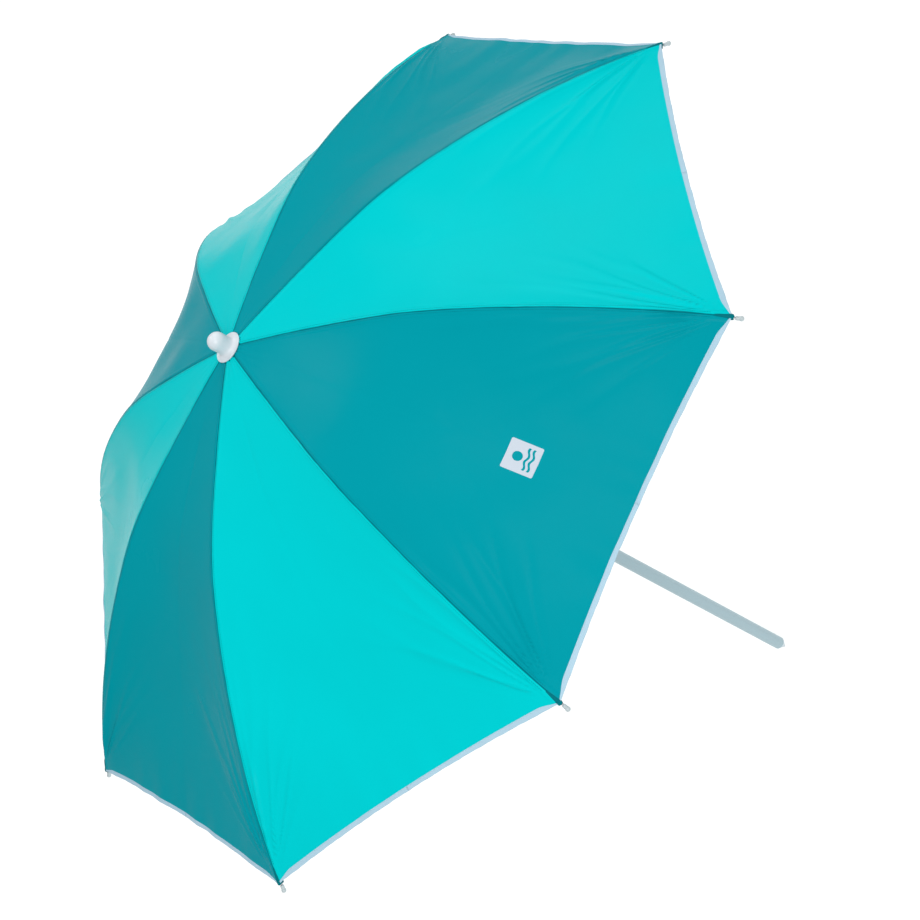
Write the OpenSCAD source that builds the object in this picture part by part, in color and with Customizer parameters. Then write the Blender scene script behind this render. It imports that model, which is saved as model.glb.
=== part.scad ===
// Beach umbrella: a two-part ground pole with a clamp, a tilt joint, and a canopy of eight panels
// on a frame of ribs and stretchers that folds when the runner slides down the pole.
// The origin is the point of the ground spike, +Z runs up the pole, and the umbrella stands open.
// The first rib lies along +X, and the others follow anticlockwise seen from above.

/* [Canopy] */
// Distance from the pole's axis to the rib line at a canopy corner
canopy_r = 720; // [600:5:870]
// Height of the rib line at the corners, above the spike's point
corner_z = 1014; // [960:2:1200]
// Thickness of the cloth solid
cloth_t = 1; // [0.6:0.1:1.3]
// Height of the cloth's upper face over the rib line
cloth_lift = 5.8; // [4.8:0.1:7]
// Width of the hem tape
tape_w = 6.5; // [5:0.5:14]
// Thickness of the hem tape
tape_t = 1.6; // [1.2:0.1:1.8]
// How far the hem is pulled in at the middle of a panel
hem_pull = 9; // [0:1:16]
// How far a panel sinks between two ribs
panel_sag = 42; // [0:2:60]
// Radius of the hole in the cloth under the finial
apex_hole_r = 7; // [5:0.5:9]

/* [Rib frame] */
// Diameter of the rib wire
rib_d = 3.4; // [2.8:0.1:4]
// Diameter of the stretcher wire
stretcher_d = 3; // [2.4:0.1:3.4]
// Distance from the pole's axis to the joint in the middle of a rib
joint_r = 310; // [260:5:330]
// Downward slope of a rib where it leaves the crown, in degrees
crown_slope = 6.2; // [4:0.2:8]
// Slope of the inner rib where it reaches its joint
inner_slope = 13.4; // [11:0.2:15]
// Slope of the outer rib where it leaves the joint
outer_slope = 18.5; // [16:0.5:22]
// Slope of the outer rib at the canopy corner
corner_slope = 40.4; // [34:0.2:44]
// Distance of a joint's pin below the rib line
pin_drop = 6; // [5.6:0.2:8]
// Radius of the pin in a rib joint
joint_pin_r = 1.2; // [1:0.1:1.4]
// Length of the flattened end of a rib or a stretcher
flat_l = 12; // [11:0.5:14]
// Thickness of the eyes that share a rib joint's pin
joint_eye_t = 1.6; // [1.2:0.1:2]
// Width of the moulded rib joint
rib_joint_w = 7.4; // [7:0.2:9]
// Length of the socket in the rib joint that holds the outer rib
rib_joint_socket = 13; // [10:1:18]
// Length of a rib's end cap that shows past the cloth
tip_l = 12; // [9:0.5:16]
// Diameter of the ball on a rib's end cap
tip_ball_d = 7.5; // [6:0.5:9]

/* [Crown and runner] */
// Distance from the pole's axis to the pivots on the crown and on the runner
pivot_r = 18; // [17:0.5:20]
// Radius of the slotted rims of the crown and the runner
rim_r = 24; // [23:0.5:27]
// Depth of a slotted rim below its pivots
rim_drop = 8; // [6:0.5:9]
// Radius of the wire ring that carries the ribs
crown_wire_r = 1; // [0.8:0.1:1.2]
// Radius of the wire ring in the runner
runner_wire_r = 0.8; // [0.6:0.1:0.8]
// Thickness of the rib end that turns on the crown's ring
crown_eye_t = 2.4; // [1.8:0.1:2.6]
// Outer radius of the sleeves under the two rims
sleeve_r = 13; // [12.5:0.25:13.5]
// Length of the crown's sleeve
crown_sleeve = 16; // [12:1:24]
// Length of the runner's sleeve
runner_sleeve = 50; // [44:1:56]
// Radius of the runner's push button
button_r = 2.6; // [2:0.1:2.8]
// Travel of the runner's push button
runner_button_travel = 2.4; // [1.6:0.2:2.4]

/* [Pole] */
// Outer diameter of the ground tube
ground_tube_d = 22; // [21.6:0.2:24]
// Height of the ground tube's top end
ground_tube_top = 490; // [440:5:500]
// Outer diameter of the sliding mast and of the canopy pole
pole_d = 19; // [17:0.5:19]
// Wall of the mast and of the canopy pole
pole_wall = 1.2; // [0.8:0.1:2]
// Height of the mast's lower end inside the ground tube
mast_foot_z = 110; // [60:5:120]
// Length of the spike's cone
spike_l = 17; // [12:1:26]
// Radius of the spike's blunt point
spike_point_r = 1.2; // [0.8:0.1:2]
// Length of the spike's shank inside the ground tube
spike_shank = 26; // [20:1:34]

/* [Clamp] */
// Outer radius of the clamp collar
collar_r = 16; // [14:0.5:18]
// Length of the collar on the ground tube, and again on the mast
collar_half = 22; // [18:1:28]
// Radius of the clamp screw
screw_r = 3; // [2.5:0.1:3.5]
// Distance from the pole's axis to the face of the screw's boss
boss_reach = 25; // [22:0.5:28]
// Radius of the clamp knob
knob_r = 15; // [13:0.5:18]
// Thickness of the clamp knob
knob_t = 10; // [8:0.5:14]

/* [Tilt joint] */
// Height of the tilt pin
tilt_z = 594; // [580:2:600]
// Radius of the tilt pin
tilt_pin_r = 3; // [2.5:0.1:3.5]
// Half the width of the tongue between the fork's cheeks
tongue_half = 4.5; // [4:0.1:5]
// Radius of the rounded cheeks
cheek_r = 11; // [10:0.5:12]
// Radius of the tilt joint's two sockets, and half its depth
socket_r = 13.5; // [13:0.25:14]
// Length of a pole end inside its socket
socket_l = 30; // [24:1:32]
// Radius of the tilt release button
tilt_button_r = 4.5; // [3.5:0.25:5]
// Travel of the tilt release button
tilt_button_travel = 3; // [2:0.5:3]

/* [Finial] */
// Radius of the finial's flange
flange_r = 24.5; // [22:0.5:27]
// Thickness of the flange at its edge
flange_t = 1.8; // [1.4:0.1:2.6]
// Radius of the finial's knob
finial_r = 14.5; // [11:0.5:17]
// Height of the finial above the cloth
finial_h = 34.5; // [30:0.5:50]
// Radius of the stud that screws into the crown
stud_r = 4; // [3.5:0.25:4.5]

/* [Fits] */
// Radial gap of a part that turns or slides on another
run_gap = 0.06; // [0.03:0.01:0.08]
// Radial gap of a part that is pressed or glued in place
press_gap = 0.02; // [0.01:0.01:0.03]
// Clear space between parts that move past each other
clear = 0.3; // [0.3:0.05:0.4]

/* [Hidden] */
$fn = 48;
ribs = 8;
step = 360 / ribs;

// Two arcs make the rib line: one from the crown to the joint, one from the joint to the corner.
inner_bend = (joint_r - pivot_r) / (sin(inner_slope) - sin(crown_slope));
outer_bend = (canopy_r - joint_r) / (sin(corner_slope) - sin(outer_slope));
joint_z = corner_z + outer_bend * (cos(outer_slope) - cos(corner_slope));
crown_z = joint_z + inner_bend * (cos(crown_slope) - cos(inner_slope));
inner_centre = [pivot_r - inner_bend * sin(crown_slope), crown_z - inner_bend * cos(crown_slope)];
outer_centre = [joint_r - outer_bend * sin(outer_slope), joint_z - outer_bend * cos(outer_slope)];

// The rib, the stretcher and the pole form a triangle with two equal sides, so the stretcher's
// end stays at the pivot radius while the umbrella folds.
pin_z = joint_z - pin_drop;
runner_z = crown_z - 2 * (crown_z - pin_z);
stretcher_slope = atan2(pin_z - runner_z, joint_r - pivot_r);
stretcher_l = norm([joint_r - pivot_r, pin_z - runner_z]);

pole_r = pole_d / 2;
ground_r = ground_tube_d / 2;
bore_r = pole_r + run_gap;
neck_r = ground_r - 0.3;
neck_z = ground_tube_top - collar_half - 0.5;
canopy_pole_foot = tilt_z + cheek_r + clear + 2;
mast_top = tilt_z - cheek_r - 2 * tilt_button_r - 6;
crown_top = crown_z + 2.9;
button_z = runner_z - rim_drop - runner_sleeve * 0.55;
button_turn = step / 2;
screw_z = ground_tube_top + collar_half / 2;
tilt_button_z = tilt_z - cheek_r - tilt_button_r - 3;
steel = [0.72, 0.74, 0.76];
inner_rows = 5;
outer_rows = 8;
cloth_columns = 6;

function bend_of(r) = r < joint_r ? inner_bend : outer_bend;
function centre_of(r) = r < joint_r ? inner_centre : outer_centre;
function slope_at(r) = asin((r - centre_of(r)[0]) / bend_of(r));

// Height of the rib line at radius r
function rib_z(r) = r < pivot_r
    ? crown_z + (pivot_r - r) * tan(crown_slope)
    : centre_of(r)[1] + sqrt(pow(bend_of(r), 2) - pow(r - centre_of(r)[0], 2));

// A point of the cloth: r is the radius along a rib, side is the place between two ribs from
// 0 to 1, and turn is the number of whole panels before it.
function cloth_point(r, side, turn, depth) =
    let (bow = 4 * side * (1 - side))
    let (share = r / canopy_r)
    let (along = r - hem_pull * bow * pow(share, 3))
    let (from = [cos(step * turn), sin(step * turn)])
    let (to = [cos(step * (turn + 1)), sin(step * (turn + 1))])
    let (flat = along * ((1 - side) * from + side * to))
    let (sunk = panel_sag * bow * share * sin(180 * pow(share, 1.6)))
    [flat[0], flat[1], rib_z(along) + cloth_lift - sunk - depth];

// A closed sheet with a ring of points at each radius, between two depths under the cloth's surface
module cloth(radii, top, bottom) {
    rows = len(radii) - 1;
    around = ribs * cloth_columns;
    layer = len(radii) * around;
    points = [for (depth = [top, bottom]) for (r = radii) for (j = [0:around - 1])
        cloth_point(r, (j % cloth_columns) / cloth_columns, floor(j / cloth_columns), depth)];
    function at(level, i, j) = level * layer + i * around + j % around;
    faces = concat(
        [for (i = [0:rows - 1]) for (j = [0:around - 1])
            each [[at(0, i, j), at(0, i + 1, j), at(0, i, j + 1)],
                [at(0, i, j + 1), at(0, i + 1, j), at(0, i + 1, j + 1)],
                [at(1, i, j), at(1, i, j + 1), at(1, i + 1, j)],
                [at(1, i, j + 1), at(1, i + 1, j + 1), at(1, i + 1, j)]]],
        [for (j = [0:around - 1])
            each [[at(0, 0, j), at(0, 0, j + 1), at(1, 0, j)],
                [at(0, 0, j + 1), at(1, 0, j + 1), at(1, 0, j)],
                [at(0, rows, j), at(1, rows, j), at(0, rows, j + 1)],
                [at(0, rows, j + 1), at(1, rows, j), at(1, rows, j + 1)]]]);
    polyhedron(points, faces);
}

// The rib line's wire between two radii on the same arc, in the XZ plane
module rib_wire(from_r, to_r, d) {
    translate([centre_of(from_r)[0], 0, centre_of(from_r)[1]])
        rotate([90, 0, 0])
            rotate([0, 0, 90 - slope_at(to_r)])
                rotate_extrude(angle = slope_at(to_r) - slope_at(from_r))
                    translate([bend_of(from_r), 0]) circle(d / 2);
}

// A flat piece in the XZ plane: its outline's x runs along +X and down by the slope
module plate(x, z, slope, t, y = 0) {
    translate([x, y, z]) rotate([0, slope, 0]) rotate([90, 0, 0])
        linear_extrude(t, center = true) children();
}

// Turns a piece made for the first rib to rib number k
module at_rib(k) {
    rotate([0, 0, step * (k - 1)]) children();
}

// A closed ring of wire around the pole
module wire_ring(r, wire_r, z) {
    translate([0, 0, z]) rotate_extrude() translate([r, 0]) circle(wire_r);
}

// The groove that a wire ring drops into from above
module wire_groove(r, wire_r, z, top) {
    groove_r = wire_r + press_gap;
    translate([0, 0, z]) rotate_extrude() translate([r, 0]) {
        circle(groove_r);
        translate([-groove_r, 0]) square([2 * groove_r, top - z + 1]);
    }
}

// Slots through a rim, one for each rib, open to the outside
module rim_slots(from_r, w, z, h) {
    for (k = [1:ribs])
        at_rib(k) translate([from_r, -w / 2, z]) cube([rim_r, w, h]);
}

module ground_spike() color([0.82, 0.86, 0.88]) {
    cylinder(r1 = spike_point_r, r2 = ground_r - 0.4, h = spike_l);
    translate([0, 0, spike_l - 0.01]) cylinder(r = bore_r - press_gap, h = spike_shank);
}

// Its upper end is drawn in a little where the clamp collar sits
module ground_tube() color([0.72, 0.81, 0.84]) difference() {
    union() {
        translate([0, 0, spike_l]) cylinder(r = ground_r, h = neck_z - spike_l);
        translate([0, 0, neck_z - 1]) cylinder(r = neck_r, h = ground_tube_top - neck_z + 1);
    }
    translate([0, 0, spike_l - 1]) cylinder(r = bore_r, h = ground_tube_top - spike_l + 2);
}

module clamp_collar() color([0.86, 0.89, 0.91]) difference() {
    union() {
        translate([0, 0, ground_tube_top - collar_half]) cylinder(r = collar_r, h = 2 * collar_half);
        translate([0, 0, screw_z]) rotate([90, 0, 0]) cylinder(r = screw_r + 4, h = boss_reach);
    }
    translate([0, 0, ground_tube_top - collar_half - 1])
        cylinder(r = neck_r + press_gap, h = collar_half + 1 + clear);
    cylinder(r = bore_r, h = ground_tube_top + 2 * collar_half);
    translate([0, 0, screw_z]) rotate([90, 0, 0]) cylinder(r = screw_r + run_gap, h = boss_reach + 1);
}

module clamp_screw() color(steel)
    translate([0, -pole_r - 2 * clear, screw_z]) rotate([90, 0, 0])
        cylinder(r = screw_r, h = boss_reach - pole_r + knob_t - 2);

module clamp_knob() color([0.84, 0.88, 0.9])
    translate([0, -boss_reach - 2 * clear, screw_z]) rotate([90, 0, 0]) difference() {
        linear_extrude(knob_t) {
            circle(knob_r * 0.72);
            for (turn = [0:72:359]) rotate(turn) translate([knob_r * 0.7, 0]) circle(knob_r * 0.3);
        }
        translate([0, 0, -1]) cylinder(r = screw_r + press_gap, h = knob_t - 1);
    }

module mast_tube() color([0.74, 0.82, 0.85]) difference() {
    translate([0, 0, mast_foot_z]) cylinder(r = pole_r, h = mast_top - mast_foot_z);
    translate([0, 0, mast_foot_z - 1]) cylinder(r = pole_r - pole_wall, h = mast_top - mast_foot_z + 2);
}

// Half of the tilt joint below the pin: a socket on the mast and two rounded cheeks
module tilt_fork() color([0.82, 0.86, 0.89]) difference() {
    union() {
        translate([0, 0, mast_top - socket_l]) cylinder(r = socket_r, h = tilt_z - cheek_r - mast_top + socket_l);
        intersection() {
            translate([0, 0, tilt_z]) rotate([90, 0, 0]) linear_extrude(2 * socket_r, center = true) {
                circle(cheek_r);
                translate([-cheek_r, -cheek_r - 4]) square([2 * cheek_r, cheek_r + 4]);
            }
            translate([0, 0, tilt_z - 2 * cheek_r]) cylinder(r = socket_r, h = 4 * cheek_r);
        }
    }
    translate([-socket_r - 1, -tongue_half - clear, tilt_z - cheek_r - clear])
        cube([2 * socket_r + 2, 2 * (tongue_half + clear), 3 * cheek_r]);
    translate([0, 0, mast_top - socket_l - 1]) cylinder(r = pole_r + press_gap, h = socket_l + 1);
    translate([0, 0, tilt_z]) rotate([90, 0, 0])
        cylinder(r = tilt_pin_r + press_gap, h = 2 * socket_r + 2, center = true);
    translate([0, -socket_r - 1, tilt_button_z]) rotate([-90, 0, 0])
        cylinder(r = tilt_button_r + run_gap, h = socket_r - 1);
}

module tilt_pin() color(steel) translate([0, 0, tilt_z]) rotate([90, 0, 0]) {
    cylinder(r = tilt_pin_r, h = 2 * socket_r + 2, center = true);
    for (side = [-1, 1]) translate([0, 0, side * (socket_r + 1.1)])
        cylinder(r = tilt_pin_r + 2, h = 2, center = true);
}

// Starts inside its pocket, one travel clear of the pocket's end, and stands proud of the fork
module tilt_button() color([0.45, 0.5, 0.53])
    translate([0, -socket_r - tilt_button_travel, tilt_button_z]) rotate([-90, 0, 0])
        cylinder(r = tilt_button_r, h = socket_r - 2 - clear);

// Half of the tilt joint above the pin: a rounded tongue and a socket for the canopy pole
module tilt_tongue() color([0.82, 0.86, 0.89]) difference() {
    union() {
        translate([0, 0, tilt_z]) rotate([90, 0, 0]) linear_extrude(2 * tongue_half, center = true) {
            circle(cheek_r - clear);
            translate([clear - cheek_r, 0]) square([2 * (cheek_r - clear), cheek_r + 4]);
        }
        translate([0, 0, tilt_z + cheek_r + clear]) cylinder(r = socket_r, h = socket_l + 2);
    }
    translate([0, 0, canopy_pole_foot]) cylinder(r = pole_r + press_gap, h = socket_l + 1);
    translate([0, 0, tilt_z]) rotate([90, 0, 0])
        cylinder(r = tilt_pin_r + run_gap, h = 2 * socket_r, center = true);
}

module canopy_pole() color([0.74, 0.82, 0.85]) difference() {
    translate([0, 0, canopy_pole_foot]) cylinder(r = pole_r, h = crown_z - 2 - canopy_pole_foot);
    translate([0, 0, canopy_pole_foot - 1]) cylinder(r = pole_r - pole_wall, h = crown_z - canopy_pole_foot);
}

// Slotted notch on the top of the pole: its wire ring carries the eight ribs
module crown() color([0.86, 0.89, 0.91]) difference() {
    union() {
        translate([0, 0, crown_z - rim_drop]) cylinder(r = rim_r, h = crown_top - crown_z + rim_drop);
        translate([0, 0, crown_z - rim_drop - crown_sleeve]) cylinder(r = sleeve_r, h = crown_sleeve + 1);
    }
    translate([0, 0, crown_z - rim_drop - crown_sleeve - 1])
        cylinder(r = pole_r + press_gap, h = rim_drop + crown_sleeve - 1);
    cylinder(r = stud_r + press_gap, h = crown_z + rim_drop);
    rim_slots(pivot_r - 3.8, rib_d + 2 * clear, crown_z - rim_drop - 1, 4 * rim_drop);
    wire_groove(pivot_r, crown_wire_r, crown_z, crown_top);
}

module crown_wire() color(steel) wire_ring(pivot_r, crown_wire_r, crown_z);

// Turned cap that screws down through the cloth into the crown
module finial() color([0.88, 0.91, 0.93]) {
    under = crown_z + cloth_lift + clear;
    at_hub = under + (pivot_r - apex_hole_r) * tan(crown_slope);
    at_edge = under - (flange_r - pivot_r) * tan(crown_slope);
    rotate_extrude() polygon([[0, at_hub], [apex_hole_r, at_hub], [pivot_r, under], [flange_r, at_edge],
        [flange_r, at_edge + flange_t], [finial_r + 1.5, at_hub + flange_t + 0.6], [0, at_hub + flange_t + 0.6]]);
    translate([0, 0, at_hub]) cylinder(r = finial_r, h = finial_h - finial_r);
    translate([0, 0, at_hub + finial_h - finial_r]) sphere(finial_r);
    translate([0, 0, crown_z - 10]) cylinder(r = stud_r, h = at_hub - crown_z + 10.5);
}

// Slides on the canopy pole and pushes the stretchers up; its slots run through the whole rim
module runner() color([0.86, 0.89, 0.91]) difference() {
    union() {
        translate([0, 0, runner_z - rim_drop]) cylinder(r = rim_r, h = 2 * rim_drop);
        translate([0, 0, runner_z - rim_drop - runner_sleeve]) cylinder(r = sleeve_r, h = runner_sleeve + 1);
        rotate([0, 0, button_turn]) translate([0, 0, button_z]) rotate([0, 90, 0])
            cylinder(r = button_r + 2, h = pivot_r - 1);
    }
    translate([0, 0, runner_z - rim_drop - runner_sleeve - 1])
        cylinder(r = bore_r, h = runner_sleeve + 2 * rim_drop + 2);
    rim_slots(pivot_r - 4.2, stretcher_d + 2 * clear, runner_z - rim_drop - 1, 2 * rim_drop + 2);
    wire_groove(pivot_r - 2.6, runner_wire_r, runner_z, runner_z + rim_drop);
    rotate([0, 0, button_turn]) translate([0, 0, button_z]) rotate([0, 90, 0])
        cylinder(r = button_r + run_gap, h = pivot_r);
}

module runner_wire() color(steel) wire_ring(pivot_r - 2.6, runner_wire_r, runner_z);

module runner_button() color([0.45, 0.5, 0.53])
    rotate([0, 0, button_turn]) translate([pole_r + clear + runner_button_travel, 0, button_z])
        rotate([0, 90, 0]) cylinder(r = button_r, h = pivot_r - 1 - pole_r);

module canopy() color([0.0, 0.72, 0.76]) {
    crown_edge = rim_r + 4;
    hem_edge = canopy_r - tape_w - clear;
    cloth(concat([apex_hole_r, crown_edge],
        [for (i = [1:inner_rows]) crown_edge + (joint_r - crown_edge) * i / inner_rows],
        [for (i = [1:outer_rows]) joint_r + (hem_edge - joint_r) * i / outer_rows]), 0, cloth_t);
}

module hem_tape() color([0.74, 0.86, 0.92])
    cloth([canopy_r - tape_w, canopy_r], -clear, tape_t - clear);

// Wire with one flat eye on the crown's ring and another, to one side, on the joint's pin
module inner_rib(k) color(steel) at_rib(k) difference() {
    union() {
        rib_wire(pivot_r + flat_l - 3, joint_r - flat_l + 2, rib_d);
        plate(pivot_r, crown_z, crown_slope, crown_eye_t) {
            circle(rib_d / 2 + 1);
            translate([0, -rib_d / 2]) square([flat_l, rib_d]);
        }
        plate(joint_r, pin_z, 0, joint_eye_t, -(joint_eye_t + clear) / 2) {
            circle(joint_pin_r + 1.8);
            polygon([[-flat_l - 1, rib_z(joint_r - flat_l - 1) - pin_z + 1.5], [1.5, 2.4], [-1.5, -2.4],
                [-flat_l - 1, rib_z(joint_r - flat_l - 1) - pin_z - 1.5]]);
        }
    }
    translate([pivot_r, 0, crown_z]) rotate([90, 0, 0])
        cylinder(r = crown_wire_r + run_gap, h = 2 * crown_eye_t, center = true);
    translate([joint_r, 0, pin_z]) rotate([90, 0, 0])
        cylinder(r = joint_pin_r + run_gap, h = rib_joint_w, center = true);
}

module outer_rib(k) color(steel) at_rib(k)
    rib_wire(joint_r + 6, canopy_r + 4, rib_d);

// Moulded fork that holds the outer rib; its own pin carries the inner rib and the stretcher
module rib_joint(k) color([0.86, 0.89, 0.91]) at_rib(k) {
    line = pin_drop * cos(outer_slope);
    front = joint_pin_r + 3.6;
    end = front + rib_joint_socket;
    slot = joint_eye_t + 1.5 * clear;
    difference() {
        plate(joint_r, pin_z, outer_slope, rib_joint_w) {
            circle(joint_pin_r + 2.8);
            polygon([[-joint_pin_r - 2.8, 0], [front - 2, line + rib_d / 2 + 0.8], [end, line + rib_d / 2 + 0.3],
                [end, line - rib_d / 2 - 1], [1.4, -joint_pin_r - 2.4]]);
        }
        plate(joint_r, pin_z, outer_slope, 2 * slot) {
            translate([-front - 1, -front]) square([2 * front + 1, 4 * front]);
            translate([-front, -front]) square([end + 2 * front, front + line - rib_d / 2 - 1]);
        }
        rib_wire(joint_r + 1, joint_r + 2 * end, rib_d + 2 * press_gap);
    }
    translate([joint_r, 0, pin_z]) rotate([90, 0, 0])
        cylinder(r = joint_pin_r, h = rib_joint_w - 0.4, center = true);
}

// Ball-ended cap pushed over the rib's end just past the canopy corner
module rib_tip(k) color([0.9, 0.93, 0.95]) at_rib(k)
    translate([canopy_r, 0, rib_z(canopy_r)]) rotate([0, 90 + corner_slope, 0]) difference() {
        union() {
            translate([0, 0, 1]) cylinder(r1 = rib_d / 2 + 0.9, r2 = rib_d / 2 + 1.2, h = tip_l - tip_ball_d / 2 - 1);
            translate([0, 0, tip_l - tip_ball_d / 2]) sphere(tip_ball_d / 2);
        }
        translate([0, 0, -1]) cylinder(r = rib_d / 2 + 0.12, h = 8);
    }

// Wire from the joint's pin to the runner; its flat end rests in the runner's slot
module stretcher(k) color(steel) at_rib(k)
    translate([joint_r, 0, pin_z]) rotate([0, 180 - stretcher_slope, 0]) difference() {
        union() {
            rotate([90, 0, 0]) translate([0, 0, -(joint_eye_t + clear) / 2])
                linear_extrude(joint_eye_t, center = true) {
                    circle(joint_pin_r + 1.8);
                    translate([0, -stretcher_d / 2]) square([flat_l + 1, stretcher_d]);
                }
            translate([flat_l - 1, 0, 0]) rotate([0, 90, 0])
                cylinder(r = stretcher_d / 2, h = stretcher_l - 2 * flat_l);
            rotate([90, 0, 0]) linear_extrude(2, center = true) {
                translate([stretcher_l - flat_l - 2, -stretcher_d / 2]) square([flat_l + 2, stretcher_d]);
                translate([stretcher_l, 0]) circle(stretcher_d / 2);
            }
        }
        rotate([90, 0, 0]) cylinder(r = joint_pin_r + run_gap, h = rib_joint_w, center = true);
    }

ground_spike();
ground_tube();
clamp_collar();
clamp_screw();
clamp_knob();
mast_tube();
tilt_fork();
tilt_pin();
tilt_button();
tilt_tongue();
canopy_pole();
crown();
crown_wire();
finial();
runner();
runner_wire();
runner_button();
canopy();
hem_tape();
for (k = [1:ribs]) {
    inner_rib(k);
    outer_rib(k);
    rib_joint(k);
    rib_tip(k);
    stretcher(k);
}
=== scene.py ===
# %% [markdown]
# # A beach umbrella
# The umbrella stands open: a painted pole, a folding frame of steel wire, eight cloth panels in two
# tones of turquoise, and a pale tape round the hem. The solid model gives every place and size. This
# script puts cloth, thread, plastic and paint on it, piece by piece.

# %% Load the solid model
import math

import bpy
import numpy as np
from mathutils import Matrix, Vector


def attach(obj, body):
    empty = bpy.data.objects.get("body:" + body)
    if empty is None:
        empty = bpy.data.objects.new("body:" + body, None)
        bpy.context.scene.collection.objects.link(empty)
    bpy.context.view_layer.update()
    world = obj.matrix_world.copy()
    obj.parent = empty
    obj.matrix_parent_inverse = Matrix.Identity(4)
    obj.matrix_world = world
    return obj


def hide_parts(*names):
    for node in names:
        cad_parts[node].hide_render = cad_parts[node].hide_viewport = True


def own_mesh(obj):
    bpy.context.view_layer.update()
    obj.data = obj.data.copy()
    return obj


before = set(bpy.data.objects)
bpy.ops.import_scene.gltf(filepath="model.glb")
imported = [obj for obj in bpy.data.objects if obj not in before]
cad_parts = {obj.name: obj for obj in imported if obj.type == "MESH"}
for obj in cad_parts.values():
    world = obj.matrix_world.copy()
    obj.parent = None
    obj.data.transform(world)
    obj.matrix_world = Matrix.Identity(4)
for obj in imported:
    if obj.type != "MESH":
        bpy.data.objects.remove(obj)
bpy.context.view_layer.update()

# %% [markdown]
# ## The camera
# It looks down on the canopy from the side, rolled so far that the pole points to the lower right.
# A long lens keeps the perspective flat, as in a catalogue picture.

# %% Camera
CAMERA_PLACE = Vector((2.4737, -1.3602, 2.8984))
CAMERA_RIGHT = Vector((0.6847, 0.1629, -0.7104))
CAMERA_UP = Vector((0.1833, 0.9049, 0.3842))
LENS = 86.39  # millimetres
SENSOR = 36  # millimetres
camera_back = CAMERA_RIGHT.cross(CAMERA_UP).normalized()
camera_up = camera_back.cross(CAMERA_RIGHT).normalized()
turn = Matrix((CAMERA_RIGHT.normalized(), camera_up, camera_back)).transposed()

camera_data = bpy.data.cameras.new("camera")
camera_data.sensor_width = SENSOR
camera_data.lens = LENS
camera = bpy.data.objects.new("camera", camera_data)
camera.matrix_world = Matrix.Translation(CAMERA_PLACE) @ turn.to_4x4()
bpy.context.scene.collection.objects.link(camera)
bpy.context.scene.camera = camera
print("camera", round(CAMERA_PLACE.length, 2), "m from the spike, lens", LENS, "mm")

# %% [markdown]
# ## Small tools for meshes
# Most pieces here are grids or turned shapes, so two helpers make nearly all of them: one turns
# lists of points and faces into an object, and one turns a profile round an axis, as a lathe does.

# %% Object from points and faces
MM = 0.001


def make_piece(name, points, faces, materials):
    """A smooth mesh object at the origin, from its points and faces, with its materials."""
    mesh = bpy.data.meshes.new(name)
    mesh.from_pydata(np.asarray(points).tolist(), [], [list(map(int, f)) for f in faces])
    for material in materials:
        mesh.materials.append(material)
    mesh.polygons.foreach_set("use_smooth", [True] * len(mesh.polygons))
    piece = bpy.data.objects.new(name, mesh)
    bpy.context.scene.collection.objects.link(piece)
    return piece


def lathe(profile, steps=48):
    """Points and faces of a profile of (radius, height) turned round Z, from axis to axis."""
    points, rings = [], []
    for radius, height in profile:
        if radius == 0:
            rings.append([len(points)])
            points.append((0, 0, height))
            continue
        rings.append(list(range(len(points), len(points) + steps)))
        for j in range(steps):
            angle = 2 * math.pi * j / steps
            points.append((radius * math.cos(angle), radius * math.sin(angle), height))
    faces = []
    for low, high in zip(rings, rings[1:]):
        for j in range(steps):
            n = (j + 1) % steps
            if len(low) == 1:
                faces.append((low[0], high[n], high[j]))
            elif len(high) == 1:
                faces.append((low[j], low[n], high[0]))
            else:
                faces.append((low[j], low[n], high[n], high[j]))
    return np.array(points), faces


def arc(centre, radius, start, end, count):
    """Points (radius, height) on an arc, with its angles in degrees."""
    angles = np.radians(np.linspace(start, end, count))
    return [(centre[0] + radius * math.cos(a), centre[1] + radius * math.sin(a)) for a in angles]


print("a turned double cone has", len(lathe([(0, 0), (1, 1), (0, 2)])[1]), "faces")


# %% [markdown]
# ## Materials
# A finish is more than a colour: plastic is a little cloudy, paint has a fine orange peel, and wire
# carries marks along its length. One helper builds all the hard finishes, with noise for the colour,
# the roughness and the bump. Cloth is different enough to get its own recipe further down.

# %% Hard finishes
def linear(red, green, blue):
    """A screen colour, 0 to 255, as the linear colour that a shader takes."""
    values = [v / 255 for v in (red, green, blue)]
    return [v / 12.92 if v <= 0.04045 else ((v + 0.055) / 1.055) ** 2.4 for v in values] + [1]


def new_material(name):
    """A material with an empty Principled shader, its tree and that shader."""
    material = bpy.data.materials.new(name)
    material.use_nodes = True
    tree = material.node_tree
    shader = tree.nodes["Principled BSDF"]
    return material, tree, shader


def add_node(tree, kind, inputs=(), **settings):
    """Adds a node. Inputs go by name: a socket is linked, anything else is its value."""
    node = tree.nodes.new(kind)
    for key, value in settings.items():
        setattr(node, key, value)
    for key, value in dict(inputs).items():
        if isinstance(value, bpy.types.NodeSocket):
            tree.links.new(value, node.inputs[key])
        else:
            node.inputs[key].default_value = value
    return node


def calc(tree, operation, a, b=0.0):
    """One step of arithmetic on sockets or numbers."""
    return add_node(tree, "ShaderNodeMath", {0: a, 1: b}, operation=operation).outputs[0]


CLOUDS, FINE = 0.3, 6  # scales of the clouds and of the relief, as shares of the grain
GLOSS_SPREAD = 0.07
RELIEF_DEPTH = 0.0001


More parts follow.
